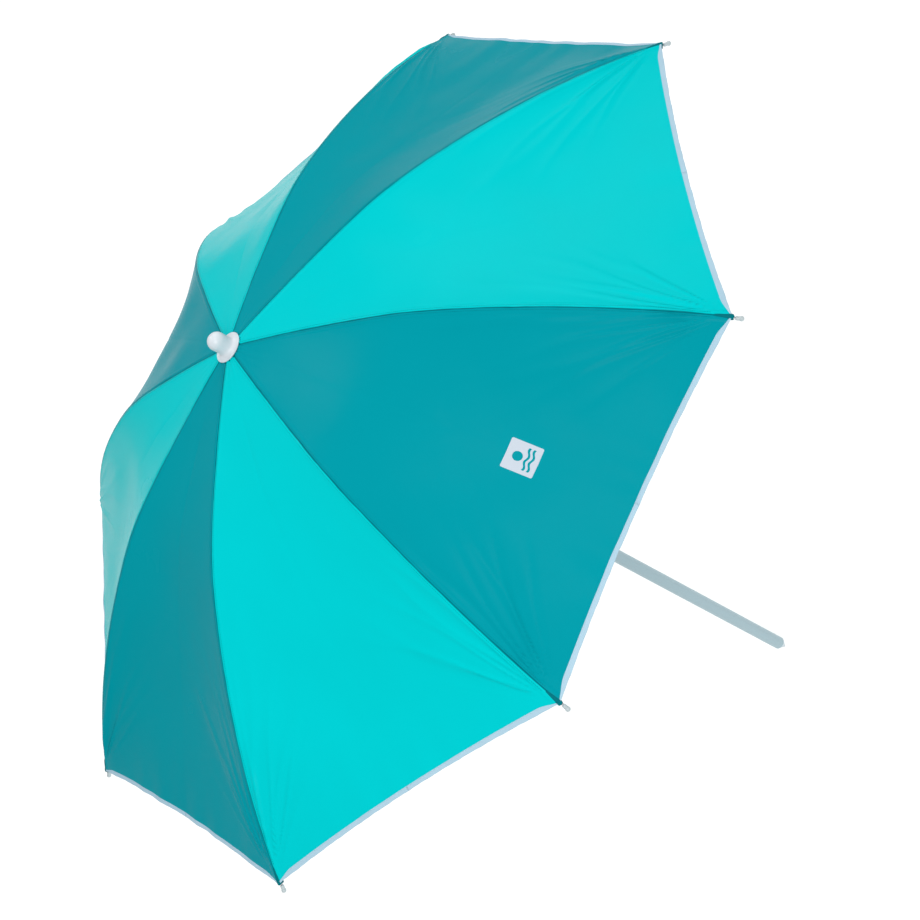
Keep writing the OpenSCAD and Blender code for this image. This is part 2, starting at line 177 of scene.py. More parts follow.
def hard_finish(name, colour, roughness, grain=120.0, bump=0.15, metal=0.0, stretch=(1, 1, 1), wear=0.1,
                shine=0.5):
    """Moulded plastic, paint or metal: cloudy colour, uneven gloss and a fine relief."""
    material, tree, shader = new_material(name)
    place = add_node(tree, "ShaderNodeTexCoord").outputs["Object"]
    place = add_node(tree, "ShaderNodeMapping", {"Vector": place, "Scale": stretch}).outputs[0]
    clouds = add_node(tree, "ShaderNodeTexNoise", {
        "Vector": place, "Scale": grain * CLOUDS, "Detail": 3.0})
    fine = add_node(tree, "ShaderNodeTexNoise", {
        "Vector": place, "Scale": grain * FINE, "Detail": 2.0})
    shade = [v * (1 - wear) for v in colour[:3]] + [1]
    tone = add_node(tree, "ShaderNodeMix", {0: clouds.outputs[0], 6: shade, 7: colour}, data_type="RGBA")
    gloss = add_node(tree, "ShaderNodeMapRange", {
        "Value": clouds.outputs[0],
        "To Min": roughness - GLOSS_SPREAD, "To Max": roughness + GLOSS_SPREAD})
    relief = add_node(tree, "ShaderNodeBump", {
        "Height": fine.outputs[0], "Strength": bump, "Distance": RELIEF_DEPTH})
    tree.links.new(tone.outputs[2], shader.inputs["Base Color"])
    tree.links.new(gloss.outputs[0], shader.inputs["Roughness"])
    tree.links.new(relief.outputs[0], shader.inputs["Normal"])
    shader.inputs["Metallic"].default_value = metal
    shader.inputs["Specular IOR Level"].default_value = shine
    return material


white_plastic = hard_finish("white plastic", linear(200, 213, 220), 0.36)
bright_plastic = hard_finish("bright white plastic", linear(214, 222, 228), 0.34, wear=0.05)
# The rib tips take a greyer copy of the white plastic: painted shade, so the small caps show against the
# white.
shaded_tip_plastic = hard_finish("rib tip plastic with painted shade", linear(184, 196, 199), 0.4)
grey_plastic = hard_finish("grey plastic", linear(112, 124, 130), 0.42)
pole_paint = hard_finish("pale blue paint", linear(170, 193, 201), 0.36, grain=60, stretch=(1, 1, 0.12))
steel = hard_finish("steel wire", linear(176, 180, 184), 0.32, grain=90, metal=1.0, wear=0.25)
tape_white = hard_finish("hem tape", linear(172, 204, 221), 0.62, grain=160, bump=0.6, shine=0.15)
thread_white = hard_finish("white thread", linear(196, 214, 226), 0.6, shine=0.1)
thread_teal = hard_finish("teal thread", linear(0, 112, 122), 0.6, shine=0.04)
print("hard finishes:", len(bpy.data.materials))

# %% [markdown]
# ## The shape of the canopy
# Each rib is two arcs with a joint between them. The cloth is stretched from rib to rib: it lies on
# straight lines between two ribs, pulls in at the hem and sinks a little in the middle. The same
# rule made the solid model, and it is repeated here in metres.

# %% The rib line
RIBS = 8
STEP = 2 * math.pi / RIBS  # angle between two ribs
CANOPY_R = 0.720  # radius of the canopy's corners
CORNER_Z = 1.014  # height of the rib line at the corners
JOINT_R = 0.310  # radius of the joint in each rib
PIVOT_R = 0.018  # radius where the ribs turn on the crown
CROWN_SLOPE, INNER_SLOPE, OUTER_SLOPE, CORNER_SLOPE = np.radians([6.2, 13.4, 18.5, 40.4])

inner_bend = (JOINT_R - PIVOT_R) / (math.sin(INNER_SLOPE) - math.sin(CROWN_SLOPE))
outer_bend = (CANOPY_R - JOINT_R) / (math.sin(CORNER_SLOPE) - math.sin(OUTER_SLOPE))
joint_z = CORNER_Z + outer_bend * (math.cos(OUTER_SLOPE) - math.cos(CORNER_SLOPE))
crown_z = joint_z + inner_bend * (math.cos(CROWN_SLOPE) - math.cos(INNER_SLOPE))
inner_centre = (PIVOT_R - inner_bend * math.sin(CROWN_SLOPE),
                crown_z - inner_bend * math.cos(CROWN_SLOPE))
outer_centre = (JOINT_R - outer_bend * math.sin(OUTER_SLOPE),
                joint_z - outer_bend * math.cos(OUTER_SLOPE))


def rib_z(r):
    """Height of the rib line at radius r."""
    inner = inner_centre[1] + np.sqrt(inner_bend**2 - (np.minimum(r, JOINT_R) - inner_centre[0]) ** 2)
    outer = outer_centre[1] + np.sqrt(outer_bend**2 - (np.maximum(r, JOINT_R) - outer_centre[0]) ** 2)
    hub = crown_z + (PIVOT_R - r) * math.tan(CROWN_SLOPE)
    return np.where(r < PIVOT_R, hub, np.where(r < JOINT_R, inner, outer))


CLOTH_LIFT = 0.0058  # from the rib line up to the cloth
JOINT_BEND = math.tan(OUTER_SLOPE) - math.tan(INNER_SLOPE)  # change of slope at the joint
SMOOTH_REACH = 0.05  # how far to each side the cloth rounds that bend off


def cloth_line(r):
    """Height of the cloth over a rib: a little above the wire, and rounded off at the joint."""
    near = np.clip(SMOOTH_REACH - np.abs(r - JOINT_R), 0, None)
    lifted = JOINT_BEND * SMOOTH_REACH / 4 * np.exp(-(((r - JOINT_R) / (2 * SMOOTH_REACH)) ** 2))
    return rib_z(r) + CLOTH_LIFT + lifted - JOINT_BEND * near**2 / (4 * SMOOTH_REACH)


print("crown at", round(crown_z, 4), "m, joints at", round(joint_z, 4), "m")


# %% Taut cloth beside a rib
HEM_PULL = 0.009  # how far the hem is pulled in between two corners
PANEL_SAG = 0.042  # how far the middle of a panel sinks
SAG_LEAN = 1.6  # above 1, the deepest sag lies nearer the hem than the crown


def taut(r, side):
    """The cloth beside the first rib, at radius r. side is 0 on that rib and 1 on the next."""
    away = np.abs(side)
    bow = 4 * away * (1 - away)
    share = r / CANOPY_R
    along = r - HEM_PULL * bow * share**3
    sunk = PANEL_SAG * bow * share * np.sin(math.pi * np.minimum(share, 1) ** SAG_LEAN)
    return np.stack([
        along * (1 - away * (1 - math.cos(STEP))),
        along * side * math.sin(STEP),
        cloth_line(along) - sunk,
    ], -1)


def slopes(surface, r, side, reach=0.0004):
    """The upward normal of a surface, from points a small reach away."""
    turn_reach = reach / (r * math.sin(STEP))
    along = surface(r + reach, side) - surface(r - reach, side)
    across = surface(r, side + turn_reach) - surface(r, side - turn_reach)
    normal = np.cross(along, across)
    return normal / np.linalg.norm(normal, axis=-1, keepdims=True)


middle = taut(np.array(CANOPY_R / 2), np.array(0.5))
print("the middle of a panel is at", [round(float(v), 3) for v in middle], "m")

# %% [markdown]
# ## Wrinkles
# Cloth that has been folded and then stretched is never smooth. Slow waves run through each panel,
# a pressed crease stays down its middle, folds fan out from the corners where the ribs pull, the hem
# flutes a little, the cloth gathers round the finial, and the seams pucker over the ribs. All of it
# is a height over the taut cloth, in metres, and the same rule gives it to every piece, so two pieces
# that meet always agree. The waves are drawn at random once, from a fixed seed.

# %% Seeded waves for each panel
rng = np.random.default_rng(11)
WAVES = 10  # slow waves on a panel
WAVE_SIZE = 0.0034  # height of the tallest wave, as a share of its length
CREASE_DEPTH = (0.0003, 0.0007)
waves = {}
corners = {}
creases = {}
for panel in range(1, RIBS + 1):
    length = rng.uniform(0.07, 0.27, WAVES)
    heading = rng.uniform(0, math.pi, WAVES)
    waves[panel] = np.stack([
        2 * math.pi / length * np.cos(heading), 2 * math.pi / length * np.sin(heading),
        rng.uniform(0, 2 * math.pi, WAVES), WAVE_SIZE * length * rng.uniform(0.4, 1, WAVES)], -1)
    corners[panel] = rng.uniform(0, 2 * math.pi, (2, 4))
    creases[panel] = rng.uniform(*CREASE_DEPTH)


def ease(x):
    """Smooth step from 0 to 1."""
    x = np.clip(x, 0, 1)
    return x * x * (3 - 2 * x)


print("creases", [round(float(depth) / MM, 2) for depth in creases.values()], "mm deep")


# %% Folds that fan out from a corner
FOLD_SIZE = 0.085  # height of a fold, as a share of its distance from the corner
FOLD_FADE = 0.075  # distance over which the folds die away
FOLD_TURNS = (23, 31, 13)  # how fast the narrow, narrower and broad folds follow each other


def sharp(x):
    """A wave with narrow ridges and broad valleys."""
    return np.exp(3 * (np.cos(x) - 1))


def corner_folds(r, side, phases):
    """Folds that fan out from the corner at side 0."""
    x = CANOPY_R - r * (1 - side * (1 - math.cos(STEP)))
    y = r * side * math.sin(STEP)
    away = np.hypot(x, y)
    angle = np.arctan2(y, x)
    window = ease(angle / 0.06) * (1 - ease((angle - 0.4) / 0.35))
    reach = ease((away - 0.012) / 0.05) * away * np.exp(-away / FOLD_FADE)
    bend = 0.7 * np.sin(away / 0.045 + phases[3])
    narrow, narrower, broad = FOLD_TURNS
    folds = sharp(narrow * angle + phases[0] + bend) + 0.8 * sharp(narrower * angle + phases[1] - bend)
    folds += 0.5 * np.sin(broad * angle + phases[2])
    return FOLD_SIZE * window * reach * folds


# %% Wrinkles of a panel and of a seam
CREASE_HALF = 0.003
FLUTE_SIZE, FLUTE_PITCHES = 0.0005, (0.058, 0.091)
GATHER_SIZE, GATHERS = 0.0003, 5
GROOVE_DEPTH, GROOVE_HALF = 0.0006, 0.0012
LAP_THICK, LAP_EDGE, LAP_RAMP = 0.00035, 0.0065, 0.0015
PUCKER_SIZE, PUCKER_PITCH = 0.00010, 0.009


def panel_height(panel, r, side):
    """Wrinkles of one panel. They fade out at both of its ribs."""
    bow = 4 * side * (1 - side)
    u = r * (side - 0.5) * 2 * math.sin(STEP / 2)
    v = r * math.cos(STEP / 2)
    height = np.zeros_like(r)
    for wave_u, wave_v, phase, size in waves[panel]:
        height += size * np.sin(wave_u * u + wave_v * v + phase)
    height *= np.sqrt(np.clip(bow, 0, 1)) * ease((r - 0.03) / 0.12)
    crease_ends = ease((v - 0.08) / 0.1) * ease((0.66 - v) / 0.03)
    height -= creases[panel] * np.exp(-np.abs(u) / CREASE_HALF) * crease_ends
    height += corner_folds(r, side, corners[panel][0]) + corner_folds(r, 1 - side, corners[panel][1])
    short, long = FLUTE_PITCHES
    flutes = np.sin(2 * math.pi * u / short + corners[panel][0][0]) + np.sin(2 * math.pi * u / long)
    height += FLUTE_SIZE * flutes * bow * np.clip(r / CANOPY_R, 0, 1) ** 14
    gathers = np.sin(2 * math.pi * GATHERS * side + corners[panel][1][0])
    return height + GATHER_SIZE * gathers * bow * np.exp(-np.clip(r - 0.025, 0, 1) / 0.035)


def seam_height(rib, r, away):
    """The groove, the lap and the puckers of the seam over a rib, at a distance away from it."""
    groove = -GROOVE_DEPTH * np.exp(-((away / GROOVE_HALF) ** 2) / 2)
    lap = LAP_THICK * ease((away - GROOVE_HALF) / LAP_RAMP) * (1 - ease((away - LAP_EDGE) / LAP_RAMP))
    rhythm = 2 * math.pi * r / PUCKER_PITCH + 2 * np.sin(r / 0.031 + rib)
    return groove + lap + PUCKER_SIZE * np.sin(rhythm) * np.exp(-((away / 0.006) ** 2))


def rib_turn(rib):
    """Rotation that takes the first rib to another one."""
    angle = STEP * (rib - 1)
    cos, sin = math.cos(angle), math.sin(angle)
    return np.array([[cos, -sin, 0], [sin, cos, 0], [0, 0, 1]])


def cloth_surface(rib):
    """The whole cloth near one rib: a function of r and side that gives points in the model's frame."""
    before = (rib - 2) % RIBS + 1

    def surface(r, side):
        points = taut(r, side)
        height = np.where(side >= 0, panel_height(rib, r, np.clip(side, 0, 1)),
                          panel_height(before, r, np.clip(1 + side, 0, 1)))
        height = height + seam_height(rib, r, r * np.abs(side) * math.sin(STEP))
        points = points + height[..., None] * slopes(taut, r, side)
        return points @ rib_turn(rib).T

    return surface


print("waves for", len(waves), "panels")

# %% [markdown]
# ## Cloth
# The canopy folds like any umbrella, so its cloth is cut along the middle of each panel and at the
# rib joints: every piece follows its own rib. The borders meet point to point, and their shading
# normals come from the whole surface, so nothing shows while the umbrella is open. A piece is a thin
# closed shell, because a sheet without thickness has no inside in a real file.

# %% Printed badge
BADGE_PANEL = 8
BADGE_V = 0.508  # its middle, from the pole out along the panel
BADGE_HALF = 0.0215
BADGE_ROUND = 0.002
SUN_R, SUN_UP = 0.0068, 0.0065
WATER_LINES = (0.0058, 0.0122)  # down from the badge's middle
WATER_HALF, WATER_THICK = 0.0158, 0.0016
RIPPLE_PITCH, RIPPLE_SIZE = 0.0165, 0.0014


def reach_of(tree, a, b):
    """Distance of a place from zero, from its two coordinates."""
    squares = [calc(tree, "POWER", side, 2.0) for side in (a, b)]
    return calc(tree, "SQRT", calc(tree, "ADD", *squares))


def badge_mask(tree, u, v):
    """A generic printed badge in the panel's own coordinates: a pale square with a sun over waves."""
    u = calc(tree, "SUBTRACT", u, float(BADGE_PANEL))
    v = calc(tree, "SUBTRACT", v, BADGE_V)
    past = []
    for side in (u, v):
        over = calc(tree, "SUBTRACT", calc(tree, "ABSOLUTE", side), BADGE_HALF - BADGE_ROUND)
        past.append(calc(tree, "MAXIMUM", over, 0.0))
    corner = reach_of(tree, *past)
    square = calc(tree, "LESS_THAN", corner, BADGE_ROUND)
    sun = reach_of(tree, u, calc(tree, "ADD", v, SUN_UP))
    print_on = calc(tree, "LESS_THAN", sun, SUN_R)
    ripple = calc(tree, "SINE", calc(tree, "MULTIPLY", u, 2 * math.pi / RIPPLE_PITCH))
    ripple = calc(tree, "MULTIPLY", ripple, RIPPLE_SIZE)
    inside = calc(tree, "LESS_THAN", calc(tree, "ABSOLUTE", u), WATER_HALF)
    for line in WATER_LINES:
        band = calc(tree, "SUBTRACT", calc(tree, "SUBTRACT", v, line), ripple)
        wet = calc(tree, "LESS_THAN", calc(tree, "ABSOLUTE", band), WATER_THICK)
        print_on = calc(tree, "MAXIMUM", print_on, calc(tree, "MULTIPLY", wet, inside))
    return calc(tree, "MULTIPLY", square, calc(tree, "SUBTRACT", 1.0, print_on))


print("badge", round(2 * BADGE_HALF / MM), "mm wide, on panel", BADGE_PANEL)


# %% Turquoise cloth
CLOUD_SCALE, DRIFT_SCALE, SLUB_SCALE, THREAD_SCALE = 7.0, 24.0, 420.0, 480.0  # higher is finer
WEAVE_DEPTH = 0.00008
BADGE_COLOUR = linear(194, 204, 215)
CLOTH_SHINE = 0.015


def mix(tree, share, first, second):
    """A colour between two others."""
    blend = add_node(tree, "ShaderNodeMix", {0: share, 6: first, 7: second}, data_type="RGBA")
    return blend.outputs[2]


def threads(tree, flat, direction):
    """Parallel threads, as a height."""
    rows = add_node(tree, "ShaderNodeTexWave", {"Vector": flat, "Scale": THREAD_SCALE, "Distortion": 0.4},
                    bands_direction=direction)
    return rows.outputs["Fac"]


def cloth_finish(name, colour, seam_and_shade_colour, badge=False):
    """Thin woven polyester: a fine weave, slow clouds of tone, hardly any gloss, and dark seam lines: the
    thread and the cloth's edge, with painted shade of the overlap.
    """
    material, tree, shader = new_material(name)
    flat = add_node(tree, "ShaderNodeUVMap", uv_map="panel").outputs[0]
    clouds = add_node(tree, "ShaderNodeTexNoise", {"Vector": flat, "Scale": CLOUD_SCALE, "Detail": 4.0})
    slub = add_node(tree, "ShaderNodeTexNoise", {"Vector": flat, "Scale": SLUB_SCALE, "Detail": 2.0})
    shade, thread = [[v * share for v in colour[:3]] + [1] for share in (0.93, 0.95)]
    tone = mix(tree, clouds.outputs[0], shade, colour)
    part = add_node(tree, "ShaderNodeMapRange", {
        "Value": slub.outputs[0], "From Min": 0.35, "From Max": 0.65, "To Min": 0.0, "To Max": 0.5})
    tone = mix(tree, part.outputs[0], tone, thread)
    from_seam = add_node(tree, "ShaderNodeAttribute", attribute_name="from_seam").outputs["Fac"]
    drift = add_node(tree, "ShaderNodeTexNoise", {"Vector": flat, "Scale": DRIFT_SCALE, "Detail": 2.0})
    drift = calc(tree, "MULTIPLY", calc(tree, "SUBTRACT", drift.outputs[0], 0.5), 2.0)
    # Dark teal along each seam: partly the thread and the dark cloth's edge, partly painted shade of the
    # overlapping cloth.
    seam = add_node(tree, "ShaderNodeMapRange", {
        "Value": calc(tree, "ABSOLUTE", calc(tree, "ADD", from_seam, drift)),
        "From Min": 0.5, "From Max": 1.7, "To Min": 0.92, "To Max": 0.0}, interpolation_type="SMOOTHSTEP")
    tone = mix(tree, seam.outputs[0], tone, seam_and_shade_colour)
    if badge:
        axes = add_node(tree, "ShaderNodeSeparateXYZ", {0: flat})
        mask = badge_mask(tree, axes.outputs[0], axes.outputs[1])
        tone = mix(tree, mask, tone, BADGE_COLOUR)
    tree.links.new(tone, shader.inputs["Base Color"])
    weave = calc(tree, "MAXIMUM", threads(tree, flat, "X"), threads(tree, flat, "Y"))
    weave = calc(tree, "ADD", weave, slub.outputs[0])
    relief = add_node(tree, "ShaderNodeBump", {"Height": weave, "Strength": 0.25, "Distance": WEAVE_DEPTH})
    tree.links.new(relief.outputs[0], shader.inputs["Normal"])
    gloss = add_node(tree, "ShaderNodeMapRange", {
        "Value": clouds.outputs[0], "To Min": 0.22, "To Max": 0.3})
    tree.links.new(gloss.outputs[0], shader.inputs["Roughness"])
    shader.inputs["Specular IOR Level"].default_value = CLOTH_SHINE
    return material


# Each cloth's second colour is its seam line: thread and cloth edge, with painted shade of the overlap.
bright_cloth = cloth_finish("bright turquoise cloth", linear(0, 199, 203), linear(0, 118, 128))
dark_cloth = cloth_finish("dark turquoise cloth", linear(0, 148, 161), linear(0, 96, 106), badge=True)
print("cloths:", bright_cloth.name, "and", dark_cloth.name)

# %% Grid of a cloth piece
SHELL = 0.0005  # thickness of the cloth
CLOTH_START = 0.025  # radius where the pieces begin, under the finial's flange
CLOSE_ROWS_FROM = 0.600  # radius from which the rows lie closer, for the corner folds
EDGE_GAP = 0.001  # the cloth ends this far inside the hem line, within the fold of the tape
width_at_hem = CANOPY_R * math.sin(STEP)
at_hem = np.concatenate([  # lines beside a rib, closest at the seam, by their distance from it at the hem
    np.array([0, 0.7, 1.5, 2.4, 3.6, 5, 7.5]) * MM, np.arange(10, 100, 3) * MM,
    np.linspace(100, width_at_hem / 2 / MM, 21) * MM])
half_sides = at_hem / width_at_hem
half_sides[-1] = 0.5
sides = np.concatenate([-half_sides[:0:-1], half_sides])
INNER_ROWS = np.linspace(CLOTH_START, JOINT_R, 50)
OUTER_ROWS = np.concatenate([
    np.linspace(JOINT_R, CLOSE_ROWS_FROM, 43)[:-1],
    np.linspace(CLOSE_ROWS_FROM, CANOPY_R - EDGE_GAP, 34)])
print("grid:", len(INNER_ROWS), "and", len(OUTER_ROWS), "rows of", len(sides), "points")


def shell_faces(rows, columns):
    """Faces of a closed shell over a grid: the top, the underside and the four narrow edges."""
    i = (np.arange(rows - 1)[:, None] * columns + np.arange(columns - 1)[None, :]).ravel()
    top = np.stack([i, i + columns, i + columns + 1, i + 1], -1)
    count = rows * columns
    edge = np.concatenate([
        np.arange(rows) * columns, (rows - 1) * columns + np.arange(1, columns),
        np.arange(rows - 2, -1, -1) * columns + columns - 1, np.arange(columns - 2, -1, -1)])
    a, b = edge[:-1], edge[1:]
    walls = np.stack([b, a, a + count, b + count], -1)
    return np.concatenate([top, top[:, ::-1] + count, walls])


def cloth_piece(name, rib, rows):
    """One rib's share of the canopy, as a shell with normals from the whole surface."""
    surface = cloth_surface(rib)
    r, side = np.meshgrid(rows, sides, indexing="ij")
    top = surface(r, side).reshape(-1, 3)
    normal = slopes(surface, r, side).reshape(-1, 3)
    faces = shell_faces(len(rows), len(sides))
    shell = np.concatenate([top, top - SHELL * normal])
    piece = make_piece(name, shell, faces, [bright_cloth, dark_cloth])
    piece.data.normals_split_custom_set_from_vertices(np.concatenate([normal, -normal]).tolist())

    flat_side = np.tile(side.ravel(), 2)
    flat_r = np.tile(r.ravel(), 2)
    right = flat_side[faces].mean(1) > 0
    before = (rib - 2) % RIBS + 1
    panel = np.where(right, rib, before)
    piece.data.polygons.foreach_set("material_index", np.where(panel % 2 == 1, 0, 1).astype(np.int32))
    sign = np.where(right, 1, -1)[:, None]
    u = sign * (np.abs(flat_side[faces]) - 0.5) * 2 * math.sin(STEP / 2) * flat_r[faces] + panel[:, None]
    u = u + 2 * RIBS * (faces.mean(1) > len(normal))[:, None]  # moves the underside away from the print
    v = flat_r[faces] * math.cos(STEP / 2)
    layer = piece.data.uv_layers.new(name="panel")
    layer.data.foreach_set("uv", np.stack([u, v], -1).ravel().astype(np.float32))
    from_seam = piece.data.attributes.new("from_seam", "FLOAT", "POINT")
    from_seam.data.foreach_set("value", (flat_r * flat_side * math.sin(STEP) / MM).astype(np.float32))
    return piece


# %% [markdown]
# ## How the cloth folds
# When the runner slides down, each rib swings inwards and carries its cloth with it. Real cloth
# crumples between two ribs. Here each piece simply rides on its own rib.


def fold_with_rib(piece, rib, body):
    """The piece rides on a rib's body, with a mesh of its own."""
    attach(piece, f"{body}_{rib}")
    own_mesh(piece)


cloth = {}
for rib in range(1, RIBS + 1):
    cloth["in", rib] = cloth_piece(f"cloth_inner_{rib}", rib, INNER_ROWS)
    cloth["out", rib] = cloth_piece(f"cloth_outer_{rib}", rib, OUTER_ROWS)
    fold_with_rib(cloth["in", rib], rib, "rib")
    fold_with_rib(cloth["out", rib], rib, "rib_end")
    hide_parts("canopy")
    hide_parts("canopy")
print("cloth:", len(cloth), "pieces,", sum(len(c.data.polygons) for c in cloth.values()), "faces")

# %% [markdown]
# ## The middle of the canopy
# A small round of cloth lies under the finial's flange and stays with the crown. It joins the eight
# pieces where nobody can see it.

# %% Cloth round under the finial
CAP_HOLE, CAP_R = 0.0072, 0.026  # radii of the hole for the finial's stem and of the round
CAP_ROWS, CAP_COLUMNS = 5, 97
CAP_DROP = 0.0002  # below the cloth pieces that it joins
cap_r, cap_side = np.meshgrid(
    np.linspace(CAP_HOLE, CAP_R, CAP_ROWS), np.linspace(0, RIBS, CAP_COLUMNS), indexing="ij")
cap_turn = cap_side * STEP
cap_z = cloth_line(cap_r) - CAP_DROP
cap_top = np.stack([cap_r * np.cos(cap_turn), cap_r * np.sin(cap_turn), cap_z], -1).reshape(-1, 3)
cloth_cap = make_piece("cloth_cap", np.concatenate([cap_top, cap_top - [0, 0, SHELL]]),
                       shell_faces(CAP_ROWS, CAP_COLUMNS), [dark_cloth])
cloth_cap.data.uv_layers.new(name="panel")
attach(cloth_cap, "canopy_head")
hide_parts("canopy")
print("cloth round", round(2 * CAP_R / MM), "mm across")

# %% [markdown]
# ## The hem tape
# A pale tape is folded over the hem and stitched through. Its section is a flat loop round the edge
# of the cloth, carried along the hem. Towards each corner it narrows to about a third, where
# it is tucked under the corner's pocket.

# %% Tape along the hem
TAPE_W = 0.0065
TAPE_TAPER = 0.028  # distance from a corner over which it narrows
TAPE_SECTION = [  # share of the tape's width in from the hem, height over the cloth in mm
    (1.0, 0.05), (0.96, 0.38), (0.8, 0.5), (0.5, 0.56), (0.2, 0.56), (0.05, 0.46), (-0.03, 0.18),
    (-0.06, -0.25), (-0.03, -0.7), (0.05, -1.0), (0.2, -1.1), (0.8, -1.05), (0.96, -0.95), (1.0, -0.6)]
hem_sides = np.unique(np.concatenate([
    np.linspace(-0.5, 0.5, 160), np.linspace(-0.04, 0.04, 33)]))


def tape_width(side):
    """Width of the tape: it narrows over the last millimetres before a corner."""
    return TAPE_W * (0.3 + 0.7 * ease(width_at_hem * np.abs(side) / TAPE_TAPER))


def on_cloth(rib, r, side, height):
    """Points at a height over the cloth."""
    surface = cloth_surface(rib)
    return surface(r, side) + height[..., None] * slopes(surface, r, side)


def tape_piece(rib):
    """The tape on both sides of one corner."""
    share, height = np.array(TAPE_SECTION).T
    side = np.tile(hem_sides[:, None], (1, len(share)))
    wobble = 0.00018 * np.cos(2 * math.pi * side * 12) + 0.00012 * np.cos(2 * math.pi * side * 28)
    r = CANOPY_R - share[None, :] * tape_width(side) + wobble * (share[None, :] < 0.3)
    points = on_cloth(rib, r, side, np.tile(height * MM, (len(hem_sides), 1)))
    rows, columns = side.shape
    i = np.arange(rows - 1)[:, None] * columns
    j = np.arange(columns)[None, :]
    n = (j + 1) % columns
    faces = np.stack([i + j, i + n, i + columns + n, i + columns + j], -1).reshape(-1, 4)
    faces = faces[:, ::-1].tolist()
    faces += [list(range(columns)), [(rows - 1) * columns + c for c in range(columns - 1, -1, -1)]]
    piece = make_piece(f"tape_{rib}", points.reshape(-1, 3), faces, [tape_white])
    for end in (-2, -1):
        piece.data.polygons[len(faces) + end].use_smooth = False
    return piece


tapes = {}
for rib in range(1, RIBS + 1):
    tapes[rib] = tape_piece(rib)
    fold_with_rib(tapes[rib], rib, "rib_end")
    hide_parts("hem_tape")
print("tape:", len(hem_sides), "sections on each of", len(tapes), "pieces")

# %% [markdown]
# ## Stitches
# Every stitch is the same small bead of thread, repeated a few thousand times, so Geometry Nodes lay
# them. The tree takes a line, puts a point on it at each stitch, and places a bead along the line's
# direction. The result is made a plain mesh before it rides on anything.

# %% A tree that lays beads along a line
BEAD_SEGMENTS, BEAD_RINGS = 6, 4


def bead_tree():
    """Geometry nodes: a line becomes a row of beads."""
    tree = bpy.data.node_groups.new("row of beads", "GeometryNodeTree")
    face = tree.interface
    face.new_socket("Geometry", in_out="INPUT", socket_type="NodeSocketGeometry")
    for name in ("Pitch", "Length", "Thickness"):
        face.new_socket(name, in_out="INPUT", socket_type="NodeSocketFloat")
    face.new_socket("Material", in_out="INPUT", socket_type="NodeSocketMaterial")
    face.new_socket("Geometry", in_out="OUTPUT", socket_type="NodeSocketGeometry")
    given = tree.nodes.new("NodeGroupInput").outputs
    line = add_node(tree, "GeometryNodeMeshToCurve", {"Mesh": given["Geometry"]})
    line = add_node(tree, "GeometryNodeResampleCurve", {
        "Curve": line.outputs[0], "Length": given["Pitch"]}, mode="LENGTH")
    bead = add_node(tree, "GeometryNodeMeshUVSphere", {
        "Segments": BEAD_SEGMENTS, "Rings": BEAD_RINGS, "Radius": 0.5})
    heading = add_node(tree, "GeometryNodeInputTangent")
    aim = add_node(tree, "FunctionNodeAlignRotationToVector", {"Vector": heading.outputs[0]}, axis="Z")
    size = add_node(tree, "ShaderNodeCombineXYZ", {
        "X": given["Thickness"], "Y": given["Thickness"], "Z": given["Length"]})
    laid = add_node(tree, "GeometryNodeInstanceOnPoints", {
        "Points": line.outputs[0], "Instance": bead.outputs[0], "Rotation": aim.outputs[0],
        "Scale": size.outputs[0]})
    laid = add_node(tree, "GeometryNodeRealizeInstances", {0: laid.outputs[0]})
    laid = add_node(tree, "GeometryNodeSetShadeSmooth", {0: laid.outputs[0]})
    laid = add_node(tree, "GeometryNodeSetMaterial", {0: laid.outputs[0], "Material": given["Material"]})
    tree.links.new(laid.outputs[0], tree.nodes.new("NodeGroupOutput").inputs[0])
    return tree


row_of_beads = bead_tree()
print("bead tree:", len(row_of_beads.nodes), "nodes")


def run_tree(name, lines, tree, values):
    """Runs a tree on a set of lines, and returns the result as a plain mesh object."""
    points = np.concatenate(lines)
    edges, start = [], 0
    for line in lines:
        edges += [(start + n, start + n + 1) for n in range(len(line) - 1)]
        start += len(line)
    guide = bpy.data.meshes.new("guide")
    guide.from_pydata(points.tolist(), edges, [])
    holder = bpy.data.objects.new("guide", guide)
    bpy.context.scene.collection.objects.link(holder)
    modifier = holder.modifiers.new("tree", "NODES")
    modifier.node_group = tree
    sockets = {s.name: s.identifier for s in tree.interface.items_tree if s.in_out == "INPUT"}
    for key, value in values.items():
        modifier[sockets[key]] = value
    shown = holder.evaluated_get(bpy.context.evaluated_depsgraph_get())
    mesh = bpy.data.meshes.new_from_object(shown)
    mesh.name = name
    bpy.data.objects.remove(holder)
    piece = bpy.data.objects.new(name, mesh)
    bpy.context.scene.collection.objects.link(piece)
    return piece


# %% Thread on the seams and on the tape
SEAM_ROW = 0.0034  # from the seam to a row of thread beside it
TAPE_ROW = 0.78  # from the hem in to the row on the tape, as a share of the tape's width
STITCH = {"Pitch": 0.0032, "Length": 0.0026, "Thickness": 0.00042}
ON_CLOTH, ON_TAPE = 0.00012, 0.0006  # heights of the two threads over the cloth's surface


def seam_lines(rib, start, end):
    """Two rows of thread, one on each side of a rib."""
    r = np.linspace(start, end, 160)
    side = SEAM_ROW / (r * math.sin(STEP))
    return [on_cloth(rib, r, way * side, np.full_like(r, ON_CLOTH)) for way in (-1, 1)]


def tape_lines(rib):
    """The row of thread near the tape's inner edge, on both sides of a corner."""
    rows = []
    for way in (-1, 1):
        side = way * np.linspace(0.045, 0.4985, 180)
        r = CANOPY_R - TAPE_ROW * tape_width(side)
        rows.append(on_cloth(rib, r, side, np.full_like(side, ON_TAPE)))
    return rows


